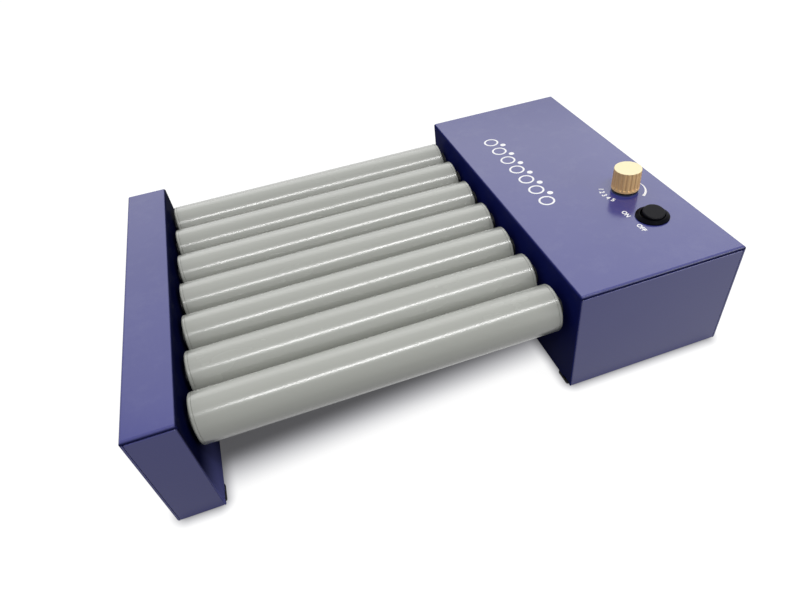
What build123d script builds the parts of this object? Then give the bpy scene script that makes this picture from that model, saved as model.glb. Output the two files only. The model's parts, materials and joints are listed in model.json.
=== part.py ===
from build123d import *
import os

# Housings: two folded steel boxes, with the rollers between them
LEFT_WIDTH = 30.2
SPAN = 242.0
RIGHT_WIDTH = 120.4
HOUSING_HEIGHT = 83.5
SHEET = 1.2
BEND_RADIUS = 1.5
RETURN_FLANGE = 12.0
LIP_RADIUS = 1.8
LIP_HEIGHT = 1.9
PANEL_FLANGE = 9.0
PANEL_BEND_RADIUS = 0.6
PANEL_CORNER_RADIUS = 1.0
PANEL_TOP_GAP = 1.0
PANEL_RELIEF = 3.0
REAR_INSET = 3.0
CORNER_NOTCH_LENGTH = 9.5
CORNER_NOTCH_HEIGHT = 2.8

# Floor plates, the tray that ties the housings together, feet and floor screws
FLOOR_SHEET = 1.5
FLOOR_EDGE_GAP = 0.3
TRAY_SHEET = 1.5
TRAY_FRONT_SETBACK = 72.5
TRAY_BACK_SETBACK = 42.5
TRAY_LIP = 7.0
TRAY_LAP = 14.0
TRAY_WALL_GAP = 0.5
TRAY_SCREW_INSET = 30.0
FOOT_HEIGHT = 1.5
FOOT_DIAMETER = 14.0
FOOT_TAPER = 0.8
FOOT_END_INSET = 24.0
FOOT_WALL_INSET = 10.0
SCREW_DIAMETER = 3.0
SCREW_HOLE_GAP = 0.15
SCREW_HEAD_DIAMETER = 5.6
SCREW_HEAD_HEIGHT = 1.0
SCREW_TIP = 1.0
FLOOR_SCREW_WALL_INSET = 7.0
FLOOR_SCREW_END_INSET = 42.5

# Rollers
ROLLER_COUNT = 7
ROLLER_DIAMETER = 33.0
ROLLER_WALL = 2.5
ROLLER_PITCH = 36.5
ROLLER_FRONT_MARGIN = 25.2
ROLLER_BACK_MARGIN = 20.8
ROLLER_AXIS_HEIGHT = 57.0
ROLLER_LEFT_GAP = 2.6
ROLLER_RIGHT_GAP = 5.0
TUBE_END_CHAMFER = 0.25
CAP_RIM = 2.3
CAP_RIM_RADIUS = 1.1
CAP_SPIGOT = 9.0
AXLE_DIAMETER = 6.0
AXLE_CHAMFER = 0.4
AXLE_LEFT_TAIL = 2.5
AXLE_RIGHT_TAIL = 1.5
PRESS_GAP = 0.02
RUNNING_GAP = 0.05

# Bushes and the rails that stiffen the bearing walls
BUSH_BARREL_DIAMETER = 10.0
BUSH_FLANGE_DIAMETER = 14.0
BUSH_FLANGE = 1.5
BUSH_TAIL = 1.0
BUSH_SEAT_GAP = 0.05
RAIL_THICKNESS = 3.0
RAIL_HEIGHT = 24.0
RAIL_END_GAP = 2.0

# Belt drive
DRUM_RADIUS = 8.0
DRUM_FLANGE_RADIUS = 10.0
DRUM_FLANGE = 0.8
DRUM_TRACK = 4.8
PULLEY_BUSH_GAP = 0.8
BELT_WIDTH = 4.0
BELT_THICKNESS = 1.2
BELT_GAP = 0.35
ROLLER_TRACK_COUNT = 2
MOTOR_TRACK_COUNT = 1

# Gear motor and its bracket
MOTOR_DIAMETER = 37.0
GEARBOX_LENGTH = 24.0
CAN_DIAMETER = 35.0
CAN_LENGTH = 36.0
MOTOR_TAIL_DIAMETER = 12.0
MOTOR_TAIL_LENGTH = 3.0
MOTOR_BOSS_DIAMETER = 12.0
MOTOR_FLOOR_GAP = 0.3
MOTOR_SHAFT_DEPTH = 16.0
MOTOR_SHAFT_TAIL = 1.0
BRACKET_SHEET = 2.0
BRACKET_MARGIN = 3.0
BRACKET_FOOT = 30.0
BRACKET_HOLE_GAP = 0.5
MOTOR_PULLEY_GAP = 1.2

# Speed control: fluted knob on a potentiometer in the top sheet
KNOB_FROM_INNER_WALL = 89.7
KNOB_FROM_FRONT = 92.8
KNOB_DIAMETER = 20.4
KNOB_TOP_DIAMETER = 19.9
KNOB_HEIGHT = 15.5
KNOB_CLEARANCE = 2.4
KNOB_FLUTES = 20
FLUTE_RADIUS = 1.15
FLUTE_OUTSET = 0.35
KNOB_TOP_ROUND = 0.5
KNOB_FOOT_RIM = 1.2
KNOB_RECESS_DIAMETER = 15.4
KNOB_RECESS_DEPTH = 1.2
CONTROL_SHAFT_DIAMETER = 6.0
CONTROL_SHAFT_UP = 13.5
CONTROL_SHAFT_DOWN = 9.0
CONTROL_BODY_DIAMETER = 24.0
CONTROL_BODY_HEIGHT = 12.0
CONTROL_NECK_DIAMETER = 9.0
CONTROL_NECK_UP = 2.0
CONTROL_LUG_WIDTH = 2.4
CONTROL_LUG_LENGTH = 7.0
CONTROL_LUG_THICKNESS = 0.8
CONTROL_LUG_SPACING = 5.0
NUT_FLANGE_DIAMETER = 19.6
NUT_FLANGE = 1.2
NUT_ACROSS_FLATS = 15.0
NUT_THICKNESS = 1.0
PANEL_HOLE_GAP = 0.1

# Round rocker switch in the top sheet
SWITCH_FROM_INNER_WALL = 87.5
SWITCH_FROM_FRONT = 54.8
BEZEL_DIAMETER = 23.5
BEZEL_EDGE = 0.9
BEZEL_HEIGHT = 2.2
BEZEL_CREST_WIDTH = 0.7
SWITCH_BARREL_DIAMETER = 19.8
SWITCH_BARREL_DEPTH = 17.0
SWITCH_WELL_DIAMETER = 17.6
SWITCH_WELL_BELOW_PIVOT = 4.8
ROCKER_DIAMETER = 15.4
ROCKER_ABOVE_PIVOT = 5.7
ROCKER_BELOW_PIVOT = 3.0
ROCKER_EDGE_RADIUS = 0.7
ROCKER_TILT = 9.0
PIVOT_BELOW_TOP = 1.0
PIVOT_PIN_DIAMETER = 2.4
PIVOT_PIN_REACH = 9.5
SWITCH_TAB_WIDTH = 4.8
SWITCH_TAB_LENGTH = 8.0
SWITCH_TAB_THICKNESS = 0.8
SWITCH_TAB_SPACING = 8.0

# Mains inlet and fuse in the rear panel
INLET_FROM_INNER_WALL = 78.0
INLET_HEIGHT = 39.0
INLET_FLANGE_LENGTH = 48.0
INLET_FLANGE_WIDTH = 23.0
INLET_FLANGE = 2.4
INLET_CORNER_RADIUS = 3.0
INLET_BODY_LENGTH = 27.6
INLET_BODY_WIDTH = 20.4
INLET_BODY_DEPTH = 20.0
INLET_CUTOUT_GAP = 0.15
INLET_WELL_LENGTH = 24.4
INLET_WELL_WIDTH = 16.8
INLET_WELL_DEPTH = 17.0
INLET_WELL_CHAMFER = 4.0
INLET_PIN_SPACING = 7.0
INLET_PIN_OFFSET = 2.0
INLET_PIN_WIDTH = 2.0
INLET_PIN_HEIGHT = 4.0
INLET_PIN_STAND = 14.0
FUSE_FROM_INNER_WALL = 30.0
FUSE_CAP_DIAMETER = 15.0
FUSE_CAP = 2.4
FUSE_BODY_DIAMETER = 12.0
FUSE_BODY_LENGTH = 28.0
FUSE_SLOT_WIDTH = 1.6
FUSE_SLOT_DEPTH = 1.0

# Speed control board
BOARD_FROM_INNER_WALL = 32.0
BOARD_FROM_FRONT = 16.0
BOARD_LENGTH = 74.0
BOARD_WIDTH = 58.0
BOARD_THICKNESS = 1.6
STANDOFF_HEIGHT = 6.0
STANDOFF_DIAMETER = 6.0
STANDOFF_INSET = 5.0
CAPACITOR_DIAMETER = 12.0
CAPACITOR_HEIGHT = 18.0
CAPACITOR_SPACING = 16.0
CAPACITOR_INSET = 16.0
SINK_LENGTH = 34.0
SINK_WIDTH = 14.0
SINK_HEIGHT = 22.0
SINK_BASE = 3.0
SINK_FINS = 4
SINK_FIN = 1.4
SINK_INSET = 4.0
TERMINAL_LENGTH = 30.0
TERMINAL_WIDTH = 9.0
TERMINAL_HEIGHT = 10.0
TERMINAL_WAYS = 6
TERMINAL_HOLE = 3.2
TERMINAL_INSET = 3.0

# Places worked out from the sizes above
TOTAL_LENGTH = LEFT_WIDTH + SPAN + RIGHT_WIDTH
DEPTH = ROLLER_FRONT_MARGIN + (ROLLER_COUNT - 1) * ROLLER_PITCH + ROLLER_BACK_MARGIN
LEFT_OUTER = -TOTAL_LENGTH / 2
LEFT_INNER = LEFT_OUTER + LEFT_WIDTH
RIGHT_INNER = LEFT_INNER + SPAN
RIGHT_OUTER = RIGHT_INNER + RIGHT_WIDTH
FRONT = -DEPTH / 2
BACK = DEPTH / 2
REAR_FACE = BACK - REAR_INSET
TRAY_FRONT = FRONT + TRAY_FRONT_SETBACK
TRAY_BACK = BACK - TRAY_BACK_SETBACK
BOTTOM = FOOT_HEIGHT
TOP = BOTTOM + HOUSING_HEIGHT
FLOOR_BASE = BOTTOM + SHEET
FLOOR_TOP = FLOOR_BASE + FLOOR_SHEET
TRAY_TOP = FLOOR_TOP + TRAY_SHEET
AXIS_Z = BOTTOM + ROLLER_AXIS_HEIGHT
ROLLER_LEFT = LEFT_INNER + ROLLER_LEFT_GAP
ROLLER_RIGHT = RIGHT_INNER - ROLLER_RIGHT_GAP
PULLEY_START = RIGHT_INNER + SHEET + RAIL_THICKNESS + BUSH_TAIL + PULLEY_BUSH_GAP
TRACK_PITCH = DRUM_TRACK + DRUM_FLANGE
BELT_INNER_RADIUS = DRUM_RADIUS + BELT_GAP
DRIVEN_ROLLER = (ROLLER_COUNT + 1) // 2
KNOB_X = RIGHT_INNER + KNOB_FROM_INNER_WALL
KNOB_Y = FRONT + KNOB_FROM_FRONT
SWITCH_X = RIGHT_INNER + SWITCH_FROM_INNER_WALL
SWITCH_Y = FRONT + SWITCH_FROM_FRONT
PIVOT_Z = TOP - PIVOT_BELOW_TOP
INLET_X = RIGHT_INNER + INLET_FROM_INNER_WALL
INLET_Z = BOTTOM + INLET_HEIGHT
FUSE_X = RIGHT_INNER + FUSE_FROM_INNER_WALL


def block(x0, x1, y0, y1, z0, z1):
    centre = ((x0 + x1) / 2, (y0 + y1) / 2, (z0 + z1) / 2)
    return Pos(*centre) * Box(x1 - x0, y1 - y0, z1 - z0)


def rod_x(x0, x1, y, z, radius):
    bar = Cylinder(radius, x1 - x0, align=(Align.CENTER, Align.CENTER, Align.MIN))
    return Pos(x0, y, z) * Rot(0, 90, 0) * bar


def rod_y(x, y0, y1, z, radius):
    bar = Cylinder(radius, y1 - y0, align=(Align.CENTER, Align.CENTER, Align.MIN))
    return Pos(x, y0, z) * Rot(-90, 0, 0) * bar


def rod_z(x, y, z0, z1, radius):
    bar = Cylinder(radius, z1 - z0, align=(Align.CENTER, Align.CENTER, Align.MIN))
    return Pos(x, y, z0) * bar


def roller_y(index):
    # Roller 1 is at the back and the last one at the front
    return BACK - ROLLER_BACK_MARGIN - (index - 1) * ROLLER_PITCH


def roller_rows():
    return [roller_y(index) for index in range(1, ROLLER_COUNT + 1)]


def floor_screw_places():
    # Each entry is x, y and the underside that the head bears on
    places = []
    for y in (FRONT + FLOOR_SCREW_END_INSET, BACK - FLOOR_SCREW_END_INSET):
        places.append((LEFT_OUTER + FLOOR_SCREW_WALL_INSET, y, BOTTOM))
        places.append((RIGHT_OUTER - FLOOR_SCREW_WALL_INSET, y, BOTTOM))
    for y in (TRAY_FRONT + TRAY_SCREW_INSET, TRAY_BACK - TRAY_SCREW_INSET):
        places.append((LEFT_INNER - FLOOR_SCREW_WALL_INSET, y, FLOOR_BASE))
        places.append((RIGHT_INNER + FLOOR_SCREW_WALL_INSET, y, FLOOR_BASE))
    return places


# Folded steel housings


def sheet_section(x0, x1):
    # Top, two walls and two return flanges, folded from one sheet
    width = x1 - x0
    outer = RectangleRounded(width, HOUSING_HEIGHT, BEND_RADIUS)
    inner = RectangleRounded(width - 2 * SHEET, HOUSING_HEIGHT - 2 * SHEET, BEND_RADIUS - SHEET)
    gap = Rectangle(width - 2 * RETURN_FLANGE, 3 * SHEET)
    return outer - inner - Pos(0, -HOUSING_HEIGHT / 2) * gap


def front_lip(x0, x1):
    # At the front the top sheet is turned down in a short lip
    return block(x0 + SHEET, x1 - SHEET, FRONT, FRONT + SHEET, TOP - LIP_HEIGHT, TOP - SHEET)


def fold_cut(x0, x1):
    # What the rounded fold of the lip takes off the square front edge
    corner = block(x0, x1, FRONT, FRONT + LIP_RADIUS, TOP - LIP_RADIUS, TOP)
    return corner - rod_x(x0, x1, FRONT + LIP_RADIUS, TOP - LIP_RADIUS, LIP_RADIUS)


def shell(x0, x1, wall_x0, wall_x1):
    section = sheet_section(x0, x1)
    place = Pos((x0 + x1) / 2, 0, BOTTOM + HOUSING_HEIGHT / 2)
    body = place * extrude(Plane.XZ * section, DEPTH / 2, both=True)
    body = body + front_lip(x0, x1) - fold_cut(x0, x1)
    # The return flanges stop short of the panels at both ends
    inside = (x0 + SHEET, x1 - SHEET)
    body -= block(*inside, FRONT, FRONT + PANEL_FLANGE + SHEET, BOTTOM, BOTTOM + BEND_RADIUS)
    body -= block(*inside, REAR_FACE - PANEL_FLANGE - SHEET, BACK, BOTTOM, BOTTOM + BEND_RADIUS)
    for y in roller_rows():
        body -= rod_x(wall_x0, wall_x1, y, AXIS_Z, BUSH_BARREL_DIAMETER / 2 + BUSH_SEAT_GAP)
    return body


def wall_openings(flange_x0, flange_x1):
    # The tray passes under the bearing wall, and the front corner has a relief
    tray = block(flange_x0, flange_x1, TRAY_FRONT - TRAY_WALL_GAP, TRAY_BACK + TRAY_WALL_GAP,
                 BOTTOM, TRAY_TOP + TRAY_WALL_GAP)
    corner = block(flange_x0, flange_x1, FRONT + SHEET, FRONT + CORNER_NOTCH_LENGTH,
                   BOTTOM, BOTTOM + CORNER_NOTCH_HEIGHT)
    return tray + corner


def screw_holes():
    holes = Part()
    for x, y, seat in floor_screw_places():
        holes += rod_z(x, y, seat, TRAY_TOP, SCREW_DIAMETER / 2 + SCREW_HOLE_GAP)
    return holes


def left_shell():
    body = shell(LEFT_OUTER, LEFT_INNER, LEFT_INNER - SHEET, LEFT_INNER)
    return body - wall_openings(LEFT_INNER - RETURN_FLANGE, LEFT_INNER) - screw_holes()


def right_shell():
    body = shell(RIGHT_INNER, RIGHT_OUTER, RIGHT_INNER, RIGHT_INNER + SHEET)
    body -= wall_openings(RIGHT_INNER, RIGHT_INNER + RETURN_FLANGE)
    body -= screw_holes()
    neck_hole = CONTROL_NECK_DIAMETER / 2 + PANEL_HOLE_GAP
    barrel_hole = SWITCH_BARREL_DIAMETER / 2 + PANEL_HOLE_GAP
    body -= rod_z(KNOB_X, KNOB_Y, TOP - SHEET, TOP, neck_hole)
    body -= rod_z(SWITCH_X, SWITCH_Y, TOP - SHEET, TOP, barrel_hole)
    return body


def panel(x0, x1, headroom):
    # A shallow folded pan set between the walls, with a narrow gap above it
    width = x1 - x0 - 2 * SHEET
    height = HOUSING_HEIGHT - headroom - PANEL_TOP_GAP
    pan = extrude(RectangleRounded(width, height, PANEL_CORNER_RADIUS), PANEL_FLANGE)
    pan = fillet(pan.faces().sort_by(Axis.Z)[0].edges(), PANEL_BEND_RADIUS)
    hollow = Rectangle(width - 2 * SHEET, height - 2 * SHEET)
    pan -= Pos(0, 0, SHEET) * extrude(hollow, PANEL_FLANGE)
    relief = extrude(Rectangle(PANEL_RELIEF, PANEL_RELIEF), PANEL_FLANGE)
    for side in (-1, 1):
        for level in (-1, 1):
            pan -= Pos(side * (width - PANEL_RELIEF) / 2, level * (height - PANEL_RELIEF) / 2, SHEET) * relief
    # The pan is drawn lying on its face, then stood up with its flanges to the back
    return Pos((x0 + x1) / 2, FRONT, BOTTOM + height / 2) * Rot(-90, 0, 0) * pan


def front_panel(x0, x1):
    return panel(x0, x1, LIP_HEIGHT)


def rear_panel(x0, x1):
    # Faces the back, and is set in from the ends of the walls
    return Pos(0, -REAR_INSET, 0) * mirror(panel(x0, x1, SHEET), Plane.XZ)


def right_rear_panel():
    panel = rear_panel(RIGHT_INNER, RIGHT_OUTER)
    half_length = INLET_BODY_LENGTH / 2 + INLET_CUTOUT_GAP
    half_width = INLET_BODY_WIDTH / 2 + INLET_CUTOUT_GAP
    panel -= block(INLET_X - half_length, INLET_X + half_length, REAR_FACE - SHEET, REAR_FACE,
                   INLET_Z - half_width, INLET_Z + half_width)
    fuse_hole = FUSE_BODY_DIAMETER / 2 + PANEL_HOLE_GAP
    panel -= rod_y(FUSE_X, REAR_FACE - SHEET, REAR_FACE, INLET_Z, fuse_hole)
    return panel


def floor_plate(x0, x1):
    side = 2 * SHEET + FLOOR_EDGE_GAP
    end = SHEET + FLOOR_EDGE_GAP
    plate = block(x0 + side, x1 - side, FRONT + end, REAR_FACE - end, FLOOR_BASE, FLOOR_TOP)
    return plate - screw_holes()


def tray():
    # A steel strip that lies on both floor plates, with a lip folded up along each long edge
    left = LEFT_INNER - TRAY_LAP
    right = RIGHT_INNER + TRAY_LAP
    base = block(left, right, TRAY_FRONT, TRAY_BACK, FLOOR_TOP, TRAY_TOP)
    lip_left = LEFT_INNER + TRAY_WALL_GAP
    lip_right = RIGHT_INNER - TRAY_WALL_GAP
    lip_top = FLOOR_TOP + TRAY_LIP
    base += block(lip_left, lip_right, TRAY_FRONT, TRAY_FRONT + TRAY_SHEET, FLOOR_TOP, lip_top)
    base += block(lip_left, lip_right, TRAY_BACK - TRAY_SHEET, TRAY_BACK, FLOOR_TOP, lip_top)
    return base - screw_holes()


def feet():
    radius = FOOT_DIAMETER / 2
    pads = []
    columns = ((LEFT_OUTER + LEFT_INNER) / 2, RIGHT_INNER + FOOT_WALL_INSET, RIGHT_OUTER - FOOT_WALL_INSET)
    for y in (FRONT + FOOT_END_INSET, BACK - FOOT_END_INSET):
        for x in columns:
            pads.append(Pos(x, y, FOOT_HEIGHT / 2) * Cone(radius - FOOT_TAPER, radius, FOOT_HEIGHT))
    return Compound(children=pads)


def floor_screws():
    screws = []
    for x, y, seat in floor_screw_places():
        head = rod_z(x, y, seat - SCREW_HEAD_HEIGHT, seat, SCREW_HEAD_DIAMETER / 2)
        screws.append(head + rod_z(x, y, seat, TRAY_TOP + SCREW_TIP, SCREW_DIAMETER / 2))
    return Compound(children=screws)


# Bearings


def rail(wall_x0, wall_x1):
    y0 = FRONT + PANEL_FLANGE + RAIL_END_GAP
    y1 = REAR_FACE - PANEL_FLANGE - RAIL_END_GAP
    bar = block(wall_x0, wall_x1, y0, y1, AXIS_Z - RAIL_HEIGHT / 2, AXIS_Z + RAIL_HEIGHT / 2)
    for y in roller_rows():
        bar -= rod_x(wall_x0, wall_x1, y, AXIS_Z, BUSH_BARREL_DIAMETER / 2 + BUSH_SEAT_GAP)
    return bar


def bush():
    # Along +X: flange on the roller side, barrel through the wall and the rail
    length = SHEET + RAIL_THICKNESS + BUSH_TAIL
    body = rod_x(-BUSH_FLANGE, 0, 0, 0, BUSH_FLANGE_DIAMETER / 2)
    body += rod_x(0, length, 0, 0, BUSH_BARREL_DIAMETER / 2)
    return body - rod_x(-BUSH_FLANGE, length, 0, 0, AXLE_DIAMETER / 2 + RUNNING_GAP)


def bushes():
    pieces = []
    for y in roller_rows():
        pieces.append(Pos(LEFT_INNER, y, AXIS_Z) * mirror(bush(), Plane.YZ))
        pieces.append(Pos(RIGHT_INNER, y, AXIS_Z) * bush())
    return Compound(children=pieces)


# Rollers


def roller_tube(y):
    x0 = ROLLER_LEFT + CAP_RIM
    x1 = ROLLER_RIGHT - CAP_RIM
    radius = ROLLER_DIAMETER / 2
    tube = rod_x(x0, x1, y, AXIS_Z, radius)
    tube = chamfer(tube.edges().filter_by(GeomType.CIRCLE), TUBE_END_CHAMFER)
    return tube - rod_x(x0, x1, y, AXIS_Z, radius - ROLLER_WALL)


def end_cap():
    # Along +X: rounded rim outside the tube, spigot inside it
    rim = rod_x(0, CAP_RIM, 0, 0, ROLLER_DIAMETER / 2)
    rim = fillet(rim.edges().filter_by(GeomType.CIRCLE).sort_by(Axis.X)[0], CAP_RIM_RADIUS)
    spigot = rod_x(CAP_RIM, CAP_RIM + CAP_SPIGOT, 0, 0, ROLLER_DIAMETER / 2 - ROLLER_WALL - PRESS_GAP)
    bore = rod_x(0, CAP_RIM + CAP_SPIGOT, 0, 0, AXLE_DIAMETER / 2 + PRESS_GAP)
    return rim + spigot - bore


def roller_caps(y):
    left = Pos(ROLLER_LEFT, y, AXIS_Z) * end_cap()
    right = Pos(ROLLER_RIGHT, y, AXIS_Z) * mirror(end_cap(), Plane.YZ)
    return Compound(children=[left, right])


def pulley_width(tracks):
    return tracks * TRACK_PITCH + DRUM_FLANGE


def track_start(track):
    return DRUM_FLANGE + track * TRACK_PITCH


def pulley(tracks):
    width = pulley_width(tracks)
    body = rod_x(0, width, 0, 0, DRUM_FLANGE_RADIUS)
    for track in range(tracks):
        start = track_start(track)
        ring = rod_x(start, start + DRUM_TRACK, 0, 0, DRUM_FLANGE_RADIUS)
        body -= ring - rod_x(start, start + DRUM_TRACK, 0, 0, DRUM_RADIUS)
    return body - rod_x(0, width, 0, 0, AXLE_DIAMETER / 2 + PRESS_GAP)


def roller_tracks(index):
    # The driven roller has a further track for the motor belt
    extra = MOTOR_TRACK_COUNT if index == DRIVEN_ROLLER else 0
    return ROLLER_TRACK_COUNT + extra


def roller_pulley(index):
    return Pos(PULLEY_START, roller_y(index), AXIS_Z) * pulley(roller_tracks(index))


def roller_axle(index):
    x0 = LEFT_INNER - SHEET - RAIL_THICKNESS - BUSH_TAIL - AXLE_LEFT_TAIL
    x1 = PULLEY_START + pulley_width(roller_tracks(index)) + AXLE_RIGHT_TAIL
    bar = rod_x(x0, x1, roller_y(index), AXIS_Z, AXLE_DIAMETER / 2)
    return chamfer(bar.edges().filter_by(GeomType.CIRCLE), AXLE_CHAMFER)


# Belts and motor


def belt(track, y0, z0, y1, z1):
    # An endless flat belt round two equal drums
    distance = ((y1 - y0) ** 2 + (z1 - z0) ** 2) ** 0.5
    inner = SlotCenterToCenter(distance, 2 * BELT_INNER_RADIUS)
    outer = SlotCenterToCenter(distance, 2 * (BELT_INNER_RADIUS + BELT_THICKNESS))
    loop = extrude(outer - inner, BELT_WIDTH)
    x = PULLEY_START + track_start(track) + (DRUM_TRACK - BELT_WIDTH) / 2
    lying = y0 != y1
    turn = Rot(0, 90, 0) * Rot(0, 0, 90 if lying else 0)
    return Pos(x, (y0 + y1) / 2, (z0 + z1) / 2) * turn * loop


def roller_belts():
    belts = []
    for index in range(1, ROLLER_COUNT):
        track = index % ROLLER_TRACK_COUNT
        belts.append(belt(track, roller_y(index), AXIS_Z, roller_y(index + 1), AXIS_Z))
    return Compound(children=belts)


MOTOR_Y = roller_y(DRIVEN_ROLLER)
MOTOR_Z = FLOOR_TOP + BRACKET_SHEET + MOTOR_FLOOR_GAP + MOTOR_DIAMETER / 2
MOTOR_PULLEY_START = PULLEY_START + track_start(ROLLER_TRACK_COUNT) - DRUM_FLANGE
BRACKET_X = MOTOR_PULLEY_START + pulley_width(MOTOR_TRACK_COUNT) + MOTOR_PULLEY_GAP
GEARBOX_X = BRACKET_X + BRACKET_SHEET


def motor_belt():
    return belt(ROLLER_TRACK_COUNT, MOTOR_Y, MOTOR_Z, MOTOR_Y, AXIS_Z)


def gear_motor():
    can_start = GEARBOX_X + GEARBOX_LENGTH
    can_end = can_start + CAN_LENGTH
    body = rod_x(GEARBOX_X, can_start, MOTOR_Y, MOTOR_Z, MOTOR_DIAMETER / 2)
    body += rod_x(BRACKET_X, GEARBOX_X, MOTOR_Y, MOTOR_Z, MOTOR_BOSS_DIAMETER / 2)
    body += rod_x(can_start, can_end, MOTOR_Y, MOTOR_Z, CAN_DIAMETER / 2)
    body += rod_x(can_end, can_end + MOTOR_TAIL_LENGTH, MOTOR_Y, MOTOR_Z, MOTOR_TAIL_DIAMETER / 2)
    bore = rod_x(BRACKET_X, BRACKET_X + MOTOR_SHAFT_DEPTH, MOTOR_Y, MOTOR_Z, AXLE_DIAMETER / 2 + RUNNING_GAP)
    return body - bore


def motor_shaft():
    x0 = MOTOR_PULLEY_START - MOTOR_SHAFT_TAIL
    x1 = BRACKET_X + MOTOR_SHAFT_DEPTH - RUNNING_GAP
    return rod_x(x0, x1, MOTOR_Y, MOTOR_Z, AXLE_DIAMETER / 2)


def motor_pulley():
    return Pos(MOTOR_PULLEY_START, MOTOR_Y, MOTOR_Z) * pulley(MOTOR_TRACK_COUNT)


def motor_bracket():
    half = MOTOR_DIAMETER / 2 + BRACKET_MARGIN
    plate_top = MOTOR_Z + MOTOR_DIAMETER / 2
    plate = block(BRACKET_X, GEARBOX_X, MOTOR_Y - half, MOTOR_Y + half, FLOOR_TOP, plate_top)
    foot = block(BRACKET_X, BRACKET_X + BRACKET_FOOT, MOTOR_Y - half, MOTOR_Y + half,
                 FLOOR_TOP, FLOOR_TOP + BRACKET_SHEET)
    hole = rod_x(BRACKET_X, GEARBOX_X, MOTOR_Y, MOTOR_Z, MOTOR_BOSS_DIAMETER / 2 + BRACKET_HOLE_GAP)
    return plate + foot - hole


# Speed control


def control_body():
    under = TOP - SHEET
    body = rod_z(KNOB_X, KNOB_Y, under - CONTROL_BODY_HEIGHT, under, CONTROL_BODY_DIAMETER / 2)
    body += rod_z(KNOB_X, KNOB_Y, under, TOP + CONTROL_NECK_UP, CONTROL_NECK_DIAMETER / 2)
    lug_z = under - CONTROL_BODY_HEIGHT / 2
    for step in (-1, 0, 1):
        x = KNOB_X + step * CONTROL_LUG_SPACING
        body += block(x - CONTROL_LUG_WIDTH / 2, x + CONTROL_LUG_WIDTH / 2,
                      KNOB_Y - CONTROL_BODY_DIAMETER / 2 - CONTROL_LUG_LENGTH, KNOB_Y,
                      lug_z - CONTROL_LUG_THICKNESS / 2, lug_z + CONTROL_LUG_THICKNESS / 2)
    bore_radius = CONTROL_SHAFT_DIAMETER / 2 + RUNNING_GAP
    bore_floor = TOP - CONTROL_SHAFT_DOWN - RUNNING_GAP
    return body - rod_z(KNOB_X, KNOB_Y, bore_floor, TOP + CONTROL_NECK_UP, bore_radius)


def control_nut():
    # Hexagon on a round flange
    hexagon = RegularPolygon(NUT_ACROSS_FLATS / 2, 6, major_radius=False)
    nut = Pos(KNOB_X, KNOB_Y, TOP + NUT_FLANGE) * extrude(hexagon, NUT_THICKNESS)
    nut += rod_z(KNOB_X, KNOB_Y, TOP, TOP + NUT_FLANGE, NUT_FLANGE_DIAMETER / 2)
    nut_top = TOP + NUT_FLANGE + NUT_THICKNESS
    return nut - rod_z(KNOB_X, KNOB_Y, TOP, nut_top, CONTROL_NECK_DIAMETER / 2 + PRESS_GAP)


def control_shaft():
    return rod_z(KNOB_X, KNOB_Y, TOP - CONTROL_SHAFT_DOWN, TOP + CONTROL_SHAFT_UP, CONTROL_SHAFT_DIAMETER / 2)


def knob_flute():
    # A grip groove with rounded ends, from the smooth foot of the knob into its rounded top edge
    low = KNOB_FOOT_RIM + FLUTE_RADIUS
    high = KNOB_HEIGHT - FLUTE_RADIUS
    ends = Pos(0, 0, low) * Sphere(FLUTE_RADIUS) + Pos(0, 0, high) * Sphere(FLUTE_RADIUS)
    return rod_z(0, 0, low, high, FLUTE_RADIUS) + ends


def knob():
    radius = KNOB_DIAMETER / 2
    body = Pos(0, 0, KNOB_HEIGHT / 2) * Cone(radius, KNOB_TOP_DIAMETER / 2, KNOB_HEIGHT)
    body = fillet(body.edges().filter_by(GeomType.CIRCLE).sort_by(Axis.Z)[-1], KNOB_TOP_ROUND)
    flute = knob_flute()
    body -= [place * flute for place in PolarLocations(radius + FLUTE_OUTSET, KNOB_FLUTES)]
    body -= rod_z(0, 0, 0, KNOB_RECESS_DEPTH, KNOB_RECESS_DIAMETER / 2)
    bore_depth = CONTROL_SHAFT_UP - KNOB_CLEARANCE + PRESS_GAP
    body -= rod_z(0, 0, 0, bore_depth, CONTROL_SHAFT_DIAMETER / 2 + PRESS_GAP)
    return Pos(KNOB_X, KNOB_Y, TOP + KNOB_CLEARANCE) * body


# Rocker switch


def bezel():
    outer = BEZEL_DIAMETER / 2
    inner = SWITCH_WELL_DIAMETER / 2
    crest = inner + BEZEL_CREST_WIDTH
    outline = Polyline((inner, 0), (outer, 0), (outer, BEZEL_EDGE), (crest, BEZEL_HEIGHT),
                       (inner, BEZEL_HEIGHT), close=True)
    return revolve(Plane.XZ * make_face(outline), Axis.Z)


def switch_body():
    body = Pos(SWITCH_X, SWITCH_Y, TOP) * bezel()
    barrel = rod_z(SWITCH_X, SWITCH_Y, TOP - SWITCH_BARREL_DEPTH, TOP, SWITCH_BARREL_DIAMETER / 2)
    well_floor = PIVOT_Z - SWITCH_WELL_BELOW_PIVOT
    body += barrel - rod_z(SWITCH_X, SWITCH_Y, well_floor, TOP, SWITCH_WELL_DIAMETER / 2)
    body -= rod_x(SWITCH_X - PIVOT_PIN_REACH - RUNNING_GAP, SWITCH_X + PIVOT_PIN_REACH + RUNNING_GAP,
                  SWITCH_Y, PIVOT_Z, PIVOT_PIN_DIAMETER / 2 + RUNNING_GAP)
    base = TOP - SWITCH_BARREL_DEPTH
    for side in (-0.5, 0.5):
        y = SWITCH_Y + side * SWITCH_TAB_SPACING
        body += block(SWITCH_X - SWITCH_TAB_WIDTH / 2, SWITCH_X + SWITCH_TAB_WIDTH / 2,
                      y - SWITCH_TAB_THICKNESS / 2, y + SWITCH_TAB_THICKNESS / 2,
                      base - SWITCH_TAB_LENGTH, base)
    return body


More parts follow.
